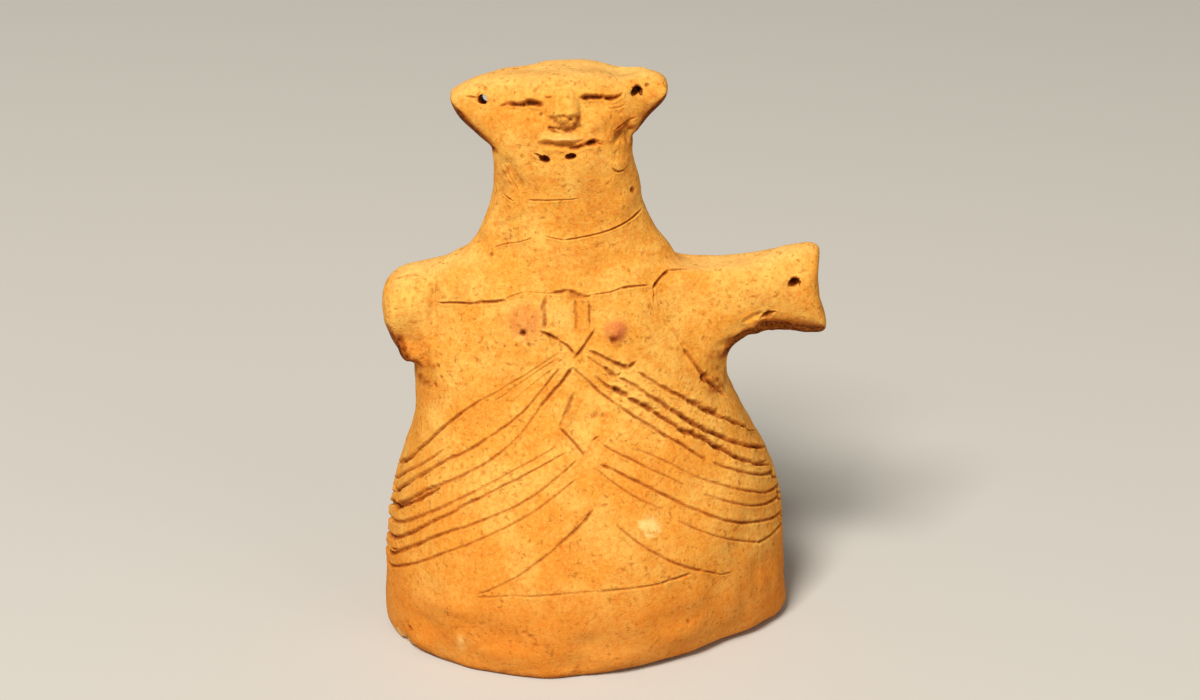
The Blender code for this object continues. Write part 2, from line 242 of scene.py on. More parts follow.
# What was drawn on the skin. The dress, its folds, the collar and the features of the face were cut
# with a pointed stick into clay that was leather-hard. Each line is a shallow groove darkened inside,
# partly by old soil and partly with painted shade, and where the clay was too dry it tore and left a
# crumbly burr.

# The front view looks from this far off. Where the skin turns away by more than this, or the place
# is past the outline, the nearest skin stands in, looked for at this depth.
VIEWER = -200
STEEPEST = -0.12
OUTLINE_DEPTH = -5


def front_point(across, height):
    """The point of the lump seen at a place of the front view, in millimetres."""
    start = Vector((across * MM, VIEWER * MM, height * MM))
    point, normal, _, _ = skin.ray_cast(start, Vector((0, 1, 0)))
    if point is None or normal.y > STEEPEST:
        inward = OUTLINE_DEPTH if point is None else point.y / MM
        point = skin.find_nearest(Vector((across, inward, height)) * MM)[0]
    return np.array(point)


def unevenness(places, size, seed):
    """Smooth chance values from -1 to 1 that change over a distance given in millimetres."""
    scaled = places / (size * MM)
    cell = np.floor(scaled)
    part = scaled - cell
    part = part * part * (3 - 2 * part)
    cell = cell.astype(np.int64)
    total = np.zeros(len(places))
    for corner in range(8):
        step = np.array([corner & 1, corner >> 1 & 1, corner >> 2])
        key = (cell + step) @ np.array([73856093, 19349663, 83492791]) + seed * 40503
        key = (key ^ (key >> 13)) * 1274126177 & 0x7FFFFFFF
        value = ((key ^ (key >> 15)) & 0xFFFF) / 32767.5 - 1
        total += value * np.where(step, part, 1 - part).prod(axis=1)
    return total


def bell(share):
    """1 in the middle, falling smoothly to 0 at 1."""
    return (1 - np.clip(share, 0, 1) ** 2) ** 2


# A line seen from the front: its two ends, how far its middle rises above the straight run between
# them, how far its first half sways the same way, its width at both ends, how much dark soil and
# painted shade it holds and how torn its edges are.
Line = namedtuple("Line", "start end rise sway width end_width soil torn")

FOLDS = (
    # on the left, from the middle outwards
    Line((-6.9, 83.3), (-27.6, 69.6), -0.3, 0, 0.8, 0.8, 0.40, 0),
    Line((-27.0, 70.2), (-49.9, 44.7), 1.1, 0.2, 1.0, 2.0, 0.90, 0.3),
    Line((-7.4, 81.7), (-23.9, 69.7), 0.2, 0.1, 0.7, 0.7, 0.38, 0),
    Line((-37.1, 55.5), (-51.0, 40.9), 0.4, -0.2, 0.9, 1.6, 0.80, 0.3),
    Line((-6.4, 79.7), (-53.0, 36.2), -0.2, -1.6, 0.8, 1.9, 0.85, 0.3),
    Line((-3.0, 79.8), (-11.9, 69.4), -0.1, 0, 1.1, 1.2, 0.85, 0.4),
    Line((-11.4, 70.0), (-53.6, 32.9), -0.9, -1.6, 0.9, 1.7, 0.82, 0.2),
    Line((-8.0, 79.4), (-19.5, 70.0), 0.2, 0, 0.8, 0.6, 0.38, 0),
    Line((-38.0, 46.4), (-53.6, 32.9), 0.2, 0, 1.3, 2.4, 0.95, 0.8),
    Line((-7.6, 60.2), (-54.4, 28.7), 1.4, -0.3, 0.7, 1.8, 0.75, 0.1),
    Line((-4.6, 58.9), (-54.5, 24.8), 2.5, -0.3, 0.8, 1.9, 0.85, 0.2),
    Line((-1.8, 57.2), (-54.7, 20.4), 1.3, -1.7, 0.8, 1.8, 0.80, 0.2),
    Line((-1.8, 52.8), (-54.5, 17.9), 0.6, -1.0, 0.8, 1.4, 0.75, 0),
    Line((-52.8, 27.4), (-50.4, 25.4), 0, 0, 0.9, 1.0, 0.80, 0.4),
    Line((-50.6, 25.6), (-52.8, 23.6), 0, 0, 1.0, 0.9, 0.80, 0.4),
    # on the right
    Line((1.3, 84.0), (11.8, 78.7), 0, 0.1, 1.3, 1.8, 0.95, 0.3),
    Line((11.3, 78.6), (13.6, 80.4), 0, 0, 1.8, 1.3, 0.95, 0.3),
    Line((14.0, 77.7), (27.3, 68.4), 0.1, 0, 1.1, 1.3, 0.75, 0.7),
    Line((26.6, 68.9), (36.0, 61.8), 0.2, 0, 1.7, 1.9, 0.90, 1.0),
    Line((35.2, 62.3), (43.4, 54.6), 0.3, 0, 1.7, 1.2, 0.85, 0.8),
    Line((0.4, 82.6), (4.9, 79.4), 0, 0, 0.8, 1.1, 0.75, 0.2),
    Line((4.5, 79.5), (8.6, 77.0), 0, 0, 1.4, 1.7, 0.90, 0.8),
    Line((8.4, 76.9), (9.6, 77.9), 0, 0, 1.2, 0.8, 0.80, 0.3),
    Line((8.6, 76.7), (23.2, 67.0), 0.4, 0, 1.1, 1.4, 0.78, 0.8),
    Line((22.4, 67.5), (46.2, 49.4), 0.2, 0, 1.5, 1.6, 0.90, 0.7),
    Line((2.8, 77.5), (7.3, 73.9), -0.2, 0, 1.0, 1.3, 0.80, 0.4),
    Line((6.9, 74.2), (11.5, 71.5), 0, 0, 1.7, 1.8, 0.90, 1.0),
    Line((11.1, 71.7), (14.9, 69.4), 0, 0, 1.3, 1.3, 0.82, 0.9),
    Line((14.1, 69.7), (18.2, 67.5), 0, 0, 1.7, 1.7, 0.90, 1.0),
    Line((17.8, 67.7), (25.3, 62.3), 0.1, 0, 1.1, 1.3, 0.78, 0.8),
    Line((24.7, 62.7), (46.0, 46.5), 0.5, 0.2, 1.6, 1.5, 0.90, 0.9),
    Line((45.5, 46.9), (48.4, 44.9), 0, 0, 1.0, 0.9, 0.65, 0.2),
    Line((-3.1, 79.8), (32.6, 53.2), -0.7, -0.4, 1.0, 1.2, 0.75, 0.3),
    Line((34.0, 52.2), (50.9, 40.7), 0.1, 0, 1.0, 1.6, 0.85, 0.2),
    Line((13.6, 59.0), (52.6, 36.2), 0.5, 0.1, 0.8, 1.4, 0.68, 0.1),
    Line((4.4, 60.7), (27.0, 48.6), 0, 0, 1.0, 0.8, 0.65, 0.1),
    Line((31.4, 45.7), (52.8, 34.0), -0.4, 0, 0.9, 1.4, 0.75, 0.1),
    Line((4.1, 56.1), (53.9, 29.2), -0.2, 0.4, 1.1, 1.3, 0.78, 0.2),
    Line((2.9, 55.1), (21.4, 43.5), -0.7, 0, 0.8, 0.8, 0.55, 0),
    Line((24.6, 40.7), (46.8, 27.2), -0.3, 0, 0.8, 1.2, 0.65, 0),
    Line((46.4, 27.3), (53.8, 26.7), -0.5, 0, 1.2, 1.2, 0.75, 0),
)
CHEST_LINES = (
    # the edge of the dress, which dips in the middle
    Line((-38.6, 92.9), (-26.5, 94.9), -0.3, 0, 0.9, 1.0, 0.95, 0),
    Line((-27.5, 94.6), (-20.2, 96.3), 0, 0, 1.4, 1.1, 1.00, 0.1),
    Line((-20.6, 96.2), (-15.2, 98.4), 0.3, 0, 0.8, 0.5, 0.60, 0),
    Line((-15.3, 98.4), (-7.0, 98.7), -0.1, 0.1, 0.4, 0.8, 0.45, 0),
    Line((-8.6, 98.6), (-4.1, 99.1), -0.1, 0, 1.1, 1.6, 0.80, 0.4),
    Line((-4.6, 98.9), (-0.4, 97.5), 0, 0, 1.5, 2.2, 0.62, 0.9),
    Line((-0.8, 97.4), (2.0, 97.9), -0.2, 0, 1.6, 0.8, 0.66, 0.7),
    Line((1.8, 97.9), (10.0, 99.5), -0.3, 0, 0.6, 0.8, 0.65, 0),
    Line((9.4, 99.4), (16.8, 99.2), 0.2, 0, 1.2, 0.8, 0.95, 0.1),
    # the crack round the shoulder
    Line((17.9, 94.3), (17.7, 98.6), 0, 0, 0.6, 0.8, 0.50, 0.4),
    Line((17.6, 98.2), (22.1, 102.0), 0.3, 0, 1.3, 1.2, 1.00, 0),
    Line((21.9, 102.0), (28.0, 101.7), 0.1, 0, 1.0, 0.7, 0.85, 0),
    Line((27.8, 101.7), (33.4, 101.2), 0, 0, 0.5, 0.4, 0.40, 0),
    # the fringe and the pendant below it
    Line((-10.2, 97.4), (-10.3, 89.2), 0, 0.1, 1.5, 1.2, 0.60, 0.9),
    Line((-8.0, 95.0), (-8.1, 91.0), 0, 0, 0.6, 0.6, 0.40, 0.2),
    Line((-2.2, 96.7), (-2.2, 88.6), 0, 0.1, 1.3, 1.0, 0.52, 0.6),
    Line((1.1, 96.2), (1.3, 90.2), 0, 0, 0.9, 0.9, 0.80, 0.2),
    Line((-11.4, 88.7), (-6.5, 86.5), 0.1, 0, 1.4, 1.5, 1.00, 0.3),
    Line((-6.9, 86.7), (-2.5, 82.9), 0.3, 0, 1.0, 1.1, 0.85, 0.1),
    Line((2.7, 89.6), (-2.5, 82.2), -0.2, 0, 1.0, 1.5, 1.00, 0.1),
    # the seam under the arm, and a tear in the arm's lower edge
    Line((20.6, 90.2), (26.2, 81.6), 0.3, 0, 1.2, 1.4, 0.26, 0),
    Line((25.9, 82.0), (31.6, 73.0), 0.1, 0, 1.2, 1.7, 0.78, 0.3),
    Line((31.0, 73.6), (37.6, 65.0), 0.2, 0, 2.1, 1.3, 1.00, 0.15),
    # the start of the stump and the top of it
    Line((-38.5, 99.0), (-38.9, 84.0), 0.2, 0.2, 0.7, 0.8, 0.28, 0.1),
    Line((-50.0, 97.6), (-42.4, 98.8), 0.3, 0, 0.9, 0.7, 0.62, 0),
    # soft painted shade along the edge of a facet of the arm, then a tear in its lower edge
    Line((41.5, 87.4), (47.0, 89.2), 0.2, 0, 2.2, 2.4, 0.16, 0.1),
    Line((46.0, 87.9), (49.6, 90.0), 0.2, 0, 1.4, 1.2, 0.85, 0.6),
)
SKIRT_LINES = (
    # the lozenge below the breast
    Line((-2.9, 73.0), (-6.7, 64.6), -0.2, 0, 1.7, 1.2, 0.58, 0.4),
    Line((-3.4, 71.0), (-4.9, 66.9), 0, 0, 1.4, 0.8, 0.55, 0.2),
    Line((-1.6, 70.4), (-2.7, 66.4), 0, 0, 0.9, 0.6, 0.40, 0.1),
    Line((-6.6, 64.9), (0.4, 57.9), 0.2, 0, 1.0, 1.2, 0.90, 0.1),
    Line((0.2, 57.9), (2.1, 61.6), 0, 0, 0.8, 0.7, 0.55, 0),
    Line((1.9, 61.5), (4.0, 62.8), 0, 0, 1.0, 0.8, 0.75, 0),
    # the split skirt and its hem
    Line((2.3, 45.1), (-28.3, 22.7), -1.7, 0, 1.4, 0.8, 0.72, 0.2),
    Line((0.8, 44.6), (-3.6, 40.2), 0.2, 0, 0.5, 0.5, 0.50, 0),
    Line((8.4, 41.3), (31.6, 25.9), -1.1, 0, 1.0, 1.3, 0.68, 0.1),
    Line((31.2, 26.0), (39.6, 22.7), -0.4, 0.2, 1.0, 0.7, 0.70, 0),
    Line((9.0, 38.8), (13.2, 35.3), 0, 0, 0.6, 0.6, 0.45, 0),
    Line((-29.0, 22.0), (-5.0, 24.8), 0.3, 0.1, 0.8, 0.9, 0.48, 0.1),
    Line((-5.4, 24.8), (4.0, 25.4), 0, 0, 0.8, 0.6, 0.60, 0),
    Line((3.6, 24.9), (28.2, 26.1), -0.2, 0.1, 0.9, 1.2, 0.62, 0.1),
)
HEAD_LINES = (
    # collar and neck
    Line((-10.3, 112.9), (-4.8, 112.1), 0, 0, 0.6, 0.7, 0.45, 0),
    Line((-5.2, 112.1), (14.9, 117.8), -1.2, 0.1, 0.7, 1.0, 0.75, 0),
    Line((-23.7, 107.8), (-13.2, 112.2), 0.1, 0.2, 0.7, 0.6, 0.45, 0),
    Line((-14.4, 122.0), (-1.4, 123.1), 0.1, 0, 0.9, 0.6, 0.65, 0),
    Line((-20.9, 122.8), (-18.2, 121.4), 0, 0, 0.9, 0.7, 0.70, 0),
    Line((7.2, 130.9), (10.9, 130.3), -1.1, 0, 1.1, 0.8, 0.80, 0),
    Line((-20.6, 131.4), (-16.9, 123.8), -0.4, 0, 0.9, 0.7, 0.45, 0),
    Line((7.6, 140.4), (13.6, 142.4), 0.4, 0, 0.7, 0.9, 0.35, 0.2),
    # eyes, the cut beside the brow and the soft fold under the right eye
    Line((-19.3, 146.9), (-14.4, 147.7), 0.1, 0, 1.6, 2.1, 1.15, 0.4),
    Line((-15.3, 147.7), (-10.3, 147.4), 0.3, 0, 2.1, 1.8, 1.30, 0.5),
    Line((-21.8, 146.1), (-19.2, 147.3), 0, 0, 0.9, 0.9, 0.60, 0.3),
    Line((-0.9, 149.2), (5.6, 148.9), 0.15, 0, 2.0, 1.6, 1.25, 0.4),
    Line((5.0, 148.8), (9.7, 149.1), -0.5, 0, 1.8, 1.3, 1.15, 0.4),
    # the broken underside of the nose, its shadow painted in as two dark torn grooves
    Line((-8.6, 141.8), (-5.4, 141.5), 0.2, 0, 1.2, 1.0, 0.70, 0.7),
    Line((-5.6, 141.4), (-1.6, 142.2), -0.2, 0, 1.2, 1.1, 0.70, 0.7),
    Line((6.2, 146.5), (10.3, 146.5), -0.5, 0, 0.8, 0.8, 0.35, 0),
    Line((-10.1, 149.4), (-7.7, 149.5), -0.4, 0, 0.9, 0.9, 0.70, 0),
    # the mouth, half of it only a brown band
    Line((-11.4, 138.0), (-2.3, 137.6), -0.1, 0, 2.1, 2.3, 0.46, 0.6),
    Line((-4.4, 137.1), (0.4, 137.4), -0.2, 0, 1.4, 1.8, 0.90, 0.6),
    Line((0.2, 137.6), (3.6, 138.3), 0.2, 0, 2.0, 1.9, 1.20, 0.8),
    Line((3.0, 138.1), (5.0, 137.1), 0, 0, 1.2, 0.7, 0.80, 0),
    # beside the holes of the ear and the chin
    Line((-30.0, 147.5), (-27.2, 147.4), 0, 0, 0.9, 1.2, 0.80, 0),
    Line((-12.8, 135.2), (-10.6, 134.0), 0, 0, 1.0, 1.4, 0.95, 0.2),
)
LINES = FOLDS + CHEST_LINES + SKIRT_LINES + HEAD_LINES
ROUTE_STEP = 0.9
# How far the hand strays from a line and over what length, and how much more on a torn one. Every
# line has a stretch of chance of its own.
STRAY = ((0.18, 5.0), (0.06, 1.6))
TORN_STRAY, TORN_STRAY_LENGTH = 0.30, 1.4
STRETCH_APART = 9
# A fold that is wider than this at its end, where the skin turns this far from the front, runs on
# round the side for this many steps. It still falls, and loses this share of its width.
RUN_ON_WIDTH = 1.1
RUN_ON_FACING = -0.5
RUN_ON = 9
RUN_ON_SLOPE = Vector((0, 0, -0.5))
RUN_ON_LOSS = 0.8


def line_route(line, number):
    """Points of the skin along a line, as a hand would draw it, and how far along each one is.

    That is 0 at its start, 1 at its end and 2 where a fold that runs on has faded out."""
    start, end = np.array(line.start), np.array(line.end)
    run = end - start
    length = math.hypot(*run)
    up = np.array((-run[1], run[0])) / length * (1 if run[0] > 0 else -1)
    shares = np.linspace(0, 1, max(3, round(length / ROUTE_STEP)) + 1)
    stretch = np.zeros((len(shares), 3))
    stretch[:, 0] = shares * length * MM
    stretch[:, 1] = number * STRETCH_APART * MM
    rise = line.rise * 4 * shares * (1 - shares) + line.sway * np.sin(2 * math.pi * shares)
    for stray, size in STRAY:
        rise += stray * unevenness(stretch, size, 3)
    rise += line.torn * TORN_STRAY * unevenness(stretch, TORN_STRAY_LENGTH, 4)
    places = start + run * shares[:, None] + up * rise[:, None]
    route = [np.array(front_point(*place)) for place in places]
    facing = skin.find_nearest(Vector(route[-1]))[1]
    if line in FOLDS and line.end_width > RUN_ON_WIDTH and facing.y > RUN_ON_FACING:
        for _ in range(RUN_ON):
            here, outward, _, _ = skin.find_nearest(Vector(route[-1]))
            ahead = outward.cross(Vector((0, 0, -math.copysign(1, outward.x)))) + RUN_ON_SLOPE
            route.append(np.array(skin.find_nearest(here + ahead.normalized() * ROUTE_STEP * MM)[0]))
        shares = np.append(shares, 1 + np.arange(1, RUN_ON + 1) / RUN_ON)
    return np.array(route), shares


def beside_route(points, route, shares, reach):
    """For the points near a route: which they are, how far off it, and how far along."""
    lowest, highest = route.min(axis=0) - reach, route.max(axis=0) + reach
    chosen = np.flatnonzero(((points > lowest) & (points < highest)).all(axis=1))
    off = np.full(len(chosen), np.inf)
    along = np.zeros(len(chosen))
    for index in range(len(route) - 1):
        start, run = route[index], route[index + 1] - route[index]
        away = points[chosen] - start
        part = np.clip(away @ run / (run @ run), 0, 1)
        gap = np.linalg.norm(away - part[:, None] * run, axis=1)
        closer = gap < off
        off[closer] = gap[closer]
        along[closer] = (shares[index] + part * (shares[index + 1] - shares[index]))[closer]
    kept = off < reach
    return chosen[kept], off[kept], along[kept]


# Pits. Grit has fallen out of the surface, and a stick end was pushed in at the breast and beside an
# ear. Place from the front, radius, depth and how much soil and painted shade darken it.

PITS = (
    (-15.8, 88.2, 1.2, 1.3, 1.0), (7.5, 86.5, 1.5, 0.8, 0.85),
    (-17.9, 92.6, 0.6, 0.2, 0.4), (-13.4, 92.2, 0.5, 0.2, 0.3), (-19.2, 89.4, 0.7, 0.2, 0.4),
    (-23.0, 85.1, 0.6, 0.3, 0.55), (-20.8, 84.3, 0.6, 0.3, 0.55), (-17.6, 84.9, 0.7, 0.35, 0.6),
    (-14.4, 85.3, 0.8, 0.35, 0.65), (-12.6, 86.3, 0.6, 0.3, 0.55), (8.9, 84.6, 1.3, 0.3, 0.35),
    (16.0, 150.7, 0.8, 0.6, 0.7), (12.4, 123.6, 1.1, 0.9, 0.9), (-10.9, 145.2, 0.7, 0.5, 0.6),
    (-8.6, 141.9, 0.9, 0.6, 0.75), (-2.2, 142.7, 1.0, 0.7, 0.75), (-5.8, 142.2, 0.9, 0.6, 0.7),
    (-7.3, 143.6, 0.8, 0.5, 0.6), (-3.6, 144.2, 0.8, 0.5, 0.6), (-5.2, 145.0, 0.7, 0.4, 0.5),
    (31.6, 72.9, 1.6, 1.4, 1.0), (33.6, 70.0, 1.2, 0.5, 0.9), (54.4, 97.4, 2.3, 0.4, 0.5),
    (-39.6, 70.9, 1.0, 0.7, 0.8), (-38.6, 76.4, 0.8, 0.5, 0.7), (-46.6, 6.4, 1.1, 0.8, 0.8),
    (-48.0, 1.6, 2.2, 0.9, 0.2), (-46.8, 93.4, 0.7, 0.25, 0.45), (-37.9, 73.6, 0.7, 0.4, 0.7),
    (-14.3, 12.8, 1.0, 0.6, 0.5), (-13.0, 10.6, 0.9, 0.5, 0.5), (-15.9, 13.9, 0.7, 0.4, 0.4),
    (-33.4, 94.4, 0.8, 0.3, 0.4), (47.9, 88.9, 1.7, 1.0, 0.8), (-26.0, 147.0, 2.1, 0.3, 0.5),
    (-24.6, 106.4, 0.9, 0.4, 0.6), (-4.2, 109.5, 0.6, 0.2, 0.4), (23.4, 54.9, 0.7, 0.25, 0.4),
    (2.8, 68.0, 1.3, 0.25, 0.5), (4.8, 67.8, 1.0, 0.2, 0.4), (27.6, 12.4, 0.9, 0.4, 0.6),
    (13.3, 149.0, 2.1, 0.3, 0.5),
)
GRIT_PITS = 170

pits = [(front_point(across, height), *sizes) for across, height, *sizes in PITS]
chance = np.random.default_rng(11)
for pick in chance.choice(np.flatnonzero(points[:, 2] > MM), GRIT_PITS, replace=False):
    radius = chance.uniform(0.45, 0.9)
    pits.append((points[pick].copy(), radius, 0.4 * radius, chance.uniform(0.15, 0.5)))

# The skin needs a finer mesh where it is drawn on or pitted, and in the face. It is halved once
# within the first distance of a mark, and again within the second, in millimetres.
FINE_REACHES = (1.3, 0.6)
FACE = ((-13.0, 136.0), (7.0, 151.5))

routes = [line_route(line, number) for number, line in enumerate(LINES)]
for reach in FINE_REACHES:
    drawn_on = np.zeros(len(points), bool)
    for line, (route, shares) in zip(LINES, routes):
        extra = max(line.width, line.end_width) / 2
        drawn_on[beside_route(points, route, shares, (reach + extra) * MM)[0]] = True
    for place, radius, _, _ in pits:
        drawn_on |= np.linalg.norm(points - place, axis=1) < (reach + radius) * MM
    flat = points[:, (0, 2)] / MM
    drawn_on |= ((flat > FACE[0]) & (flat < FACE[1])).all(axis=1) & (points[:, 1] < 0)
    shape = bmesh.new()
    shape.from_mesh(fine)
    shape.verts.ensure_lookup_table()
    edges = [edge for edge in shape.edges if all(drawn_on[corner.index] for corner in edge.verts)]
    bmesh.ops.subdivide_edges(shape, edges=edges, cuts=1, use_grid_fill=True)
    shape.to_mesh(fine)
    shape.free()
    points = read_points(fine)
normals = read_points(fine, "normal")
x_mm, z_mm = points[:, 0] / MM, points[:, 2] / MM
front_side = normals[:, 1] < 0.2


# What was pressed on and dented while the clay was soft: a low nose, a ledge of a lip and two small
# breasts. The clay was smoothed wet with the fingers, which left soft dents and valleys.

# How fast a mark of the front fades where the skin turns to the back.
BACK_FADING = 1.6


def near(across, height, half_across, half_up):
    """How far each point is from a place in front, as a share of an oval's half sizes."""
    share = np.hypot((x_mm - across) / half_across, (z_mm - height) / half_up)
    return share + BACK_FADING * np.clip(normals[:, 1], 0, 1)


# Size of the dents of the hand and their depth, in millimetres. The skin starts a little low, so that
# the swells between the dents stay within the lump's size.
TOUCHES = ((26, 0.70), (11, 0.50), (5, 0.25), (2.4, 0.11))
START_LEVEL = -0.2
raised = np.full(len(points), START_LEVEL)
for seed, (size, depth) in enumerate(TOUCHES):
    raised += depth * unevenness(points, size, seed)
soil = np.zeros(len(points))
blush = np.zeros(len(points))
pale_and_highlight = np.zeros(len(points))

# Heights down the nose, its half width at each and how far it stands out there.
NOSE_HEIGHTS = (140.4, 141.6, 145.2, 150.8)
NOSE_HALVES = (5.2, 5.0, 4.8, 3.4)
NOSE_OUT = (0, 2.0, 3.1, 0.4)
NOSE_MIDDLE = -5.0
TIP_LOSS = 0.9
across = np.abs(x_mm - NOSE_MIDDLE) / np.interp(z_mm, NOSE_HEIGHTS, NOSE_HALVES)
across *= 1 + 0.12 * unevenness(points, 2.0, 19)
side = np.clip((1 - across) / 0.65, 0, 1)
nose = side ** 2 * (3 - 2 * side) * np.interp(z_mm, NOSE_HEIGHTS, NOSE_OUT, 0, 0) * front_side
broken = np.clip((145.2 + 0.5 * unevenness(points, 1.5, 20) - z_mm) / 0.6, 0, 1) * np.clip(nose, 0, 1)
raised += nose - TIP_LOSS * broken + 0.5 * broken * unevenness(points, 1.1, 21)
soil = np.maximum(soil, 0.7 * broken * np.clip(0.5 + unevenness(points, 1.3, 22), 0, 1))

LIP_HEIGHTS = (138.4, 139.2, 141.2)
LIP_MIDDLE, LIP_HALF, LIP_OUT = -5.0, 5.4, 1.8
ledge = np.interp(z_mm + 0.25 * unevenness(points, 2.5, 25), LIP_HEIGHTS, (0, 1, 0)) * front_side
lip = ledge * bell(np.abs(x_mm - LIP_MIDDLE) / LIP_HALF * (0.85 + 0.15 * unevenness(points, 1.5, 26)))
raised += LIP_OUT * lip
# Painted highlight on the top of the lip's ledge.
pale_and_highlight = np.maximum(pale_and_highlight, 0.5 * lip)

# Place, half size, height and how pink each breast is.
BREASTS = ((-15.3, 91.0, 4.9, 0.8, 0.62), (7.9, 88.9, 3.6, 1.8, 1.0))
for across, height, half, out, pink in BREASTS:
    share = near(across, height, half, half) * (1 + 0.12 * unevenness(points, 2.0, 23))
    raised += out * bell(share * 0.95)
    mottled = 0.8 + 0.35 * unevenness(points, 1.4, 24)
    blush = np.maximum(blush, pink * mottled * np.clip(1.8 * bell(share * 0.85), 0, 1))

# Soft swellings and dents: place, half sizes and height. Eye hollows, cheeks, crown, the pad of the
# stump and the break below it, the dented right cheek, then the lumpy lowest edge of the skirt.
SWELLINGS = (
    (-14.8, 145.8, 5.5, 2.4, -0.7), (3.2, 147.2, 5.5, 2.4, -0.7), (-12.5, 142.0, 4.0, 3.0, 0.4),
    (3.5, 142.8, 4.5, 3.0, 0.6), (-4.5, 152.6, 14.0, 2.0, 0.3), (-45.5, 90.5, 6.0, 9.0, 0.8),
    (-46.0, 77.5, 4.0, 4.5, 1.8), (10.5, 138.5, 3.2, 2.6, -0.9), (13.6, 136.5, 2.4, 2.2, -0.8),
    (9.0, 131.4, 3.0, 2.4, 0.5),
    (-41.0, 10.5, 8.0, 4.5, -0.9), (-24.0, 12.0, 13.0, 5.0, -0.8), (-19.0, 6.5, 12.0, 4.5, 0.7),
    (-3.0, 4.5, 9.0, 4.5, -0.8), (6.0, 10.5, 14.0, 5.0, -0.7), (9.0, 5.0, 9.0, 4.0, 0.6),
    (26.0, 8.5, 9.0, 5.0, 0.7), (24.0, 14.5, 12.0, 4.5, -0.6), (38.0, 5.0, 7.0, 4.0, -0.8),
    (-36.0, 17.5, 10.0, 3.0, 0.7), (-44.0, 4.0, 5.0, 3.0, 0.8), (40.0, 15.0, 6.0, 8.0, 0.5),
)
for across, height, half_across, half_up, out in SWELLINGS:
    raised += out * bell(near(across, height, half_across, half_up))

# Places where the skin is broken away and rough: place, half sizes and roughness.
BROKEN_PLACES = (
    (-43.5, 78.5, 7.0, 8.0, 0.45), (33.0, 72.5, 3.5, 6.0, 0.2), (11.5, 139.0, 4.0, 4.5, 0.6),
    (47.0, 84.0, 13.0, 5.0, 0.75), (-47.0, 2.5, 5.0, 3.0, 0.6), (27.0, 81.0, 3.0, 8.0, 0.25),
)
for across, height, half_across, half_up, depth in BROKEN_PLACES:
    rough = unevenness(points, 2.6, 27) + 0.7 * unevenness(points, 1.3, 28) - 0.3
    raised += depth * rough * bell(near(across, height, half_across, half_up))

# Soft valleys: ends, width and depth. The start of the stump, the neck below the left ear, the arm,
# the cheek, finger strokes down the right flank and smears at the left of the collar.
VALLEYS = (
    ((-38.7, 99.5), (-39.6, 80.5), 4.4, 1.1),
    ((-20.5, 134.0), (-16.4, 123.5), 6.0, 0.9),
    ((33.5, 80.0), (53.0, 85.6), 5.0, 1.2),
    ((12.8, 143.0), (7.4, 136.5), 2.6, 0.9),
    ((45.5, 25.0), (46.8, 7.0), 3.0, 0.45),
    ((49.0, 24.0), (49.6, 9.0), 2.4, 0.45),
    ((41.5, 22.0), (43.0, 6.0), 3.4, 0.40),
    ((-31.0, 110.0), (-22.0, 104.0), 8.0, 0.7),
    ((-13.5, 119.0), (-24.0, 112.0), 2.6, 0.35),
    ((-12.5, 116.0), (-20.0, 109.5), 2.2, 0.30),
)
for start, end, width, depth in VALLEYS:
    route, shares = line_route(Line(start, end, 0, 0, 0, 0, 0, 0), 200)
    chosen, off, along = beside_route(points, route, shares, width / 2 * MM)
    ends = np.clip(np.minimum(along, 1 - along) * 5, 0, 1)
    raised[chosen] -= depth * ends * bell(off / (width / 2 * MM))

# A groove is this many times as wide as it is deep, this much slimmer than the dark line seen, and
# runs out to nothing over this length.
GROOVE_SHAPE = 1.35
SLIM = 0.92
END_TAPER = 1.6
# Its lips stand up this much, sure or torn, at this many half widths from its middle, but not where
# another line has cut deeper than the last value.
SURE_LIP, TORN_LIP = 0.13, 0.45
LIP_PLACE = 1.35
CROSSED = 0.15

cut = np.zeros(len(points))
lips = np.zeros(len(points))
for line, (route, shares) in zip(LINES, routes):
    widest = max(line.width, line.end_width)
    chosen, off, along = beside_route(points, route, shares, 1.6 * widest * MM)
    here = points[chosen]
    drawn = np.minimum(along, 1)
    fading = 1 - RUN_ON_LOSS * (along - drawn)
    spread = drawn ** 2 if line.end_width > line.width else 1 - (1 - drawn) ** 2
    width = SLIM * (1 + 0.2 * line.torn) * (line.width + (line.end_width - line.width) * spread)
    width *= fading
    ragged = unevenness(here, 1.9, 40) + 0.7 * unevenness(here, 0.8, 44)
    width *= 1 + (0.16 + 0.14 * line.torn) * ragged
    to_end = np.minimum(along, shares[-1] - along) * len(route) * ROUTE_STEP
    ends = np.clip(to_end / END_TAPER + 0.2, 0, 1)
    half = width / 2 * (0.6 + 0.4 * ends)
    depth = width / GROOVE_SHAPE * (0.30 + 0.70 * line.soil) * ends
    depth *= 1 + (0.12 + 0.15 * line.torn) * unevenness(here, 2.8, 41)
    share = off / (half * MM)
    cut[chosen] = np.maximum(cut[chosen], depth * bell(share * 0.9))
    # The groove is darkened inside: old soil and painted shade together.
    groove_darkening = line.soil * (0.30 + 0.70 * width / (SLIM * widest)) * (0.4 + 0.6 * ends)
    groove_darkening *= 0.9 + 0.3 * unevenness(here, 3.5, 45)
    soil[chosen] = np.maximum(soil[chosen], groove_darkening * bell(share * 0.85))
    crumbs = np.clip(0.25 + unevenness(here, 0.9, 43), 0, 1)
    rim = (SURE_LIP * ends + TORN_LIP * line.torn * crumbs) * bell(np.abs(share - LIP_PLACE) * 1.5)
    lips[chosen] = np.maximum(lips[chosen], rim)
raised += lips * (cut < CROSSED) - cut

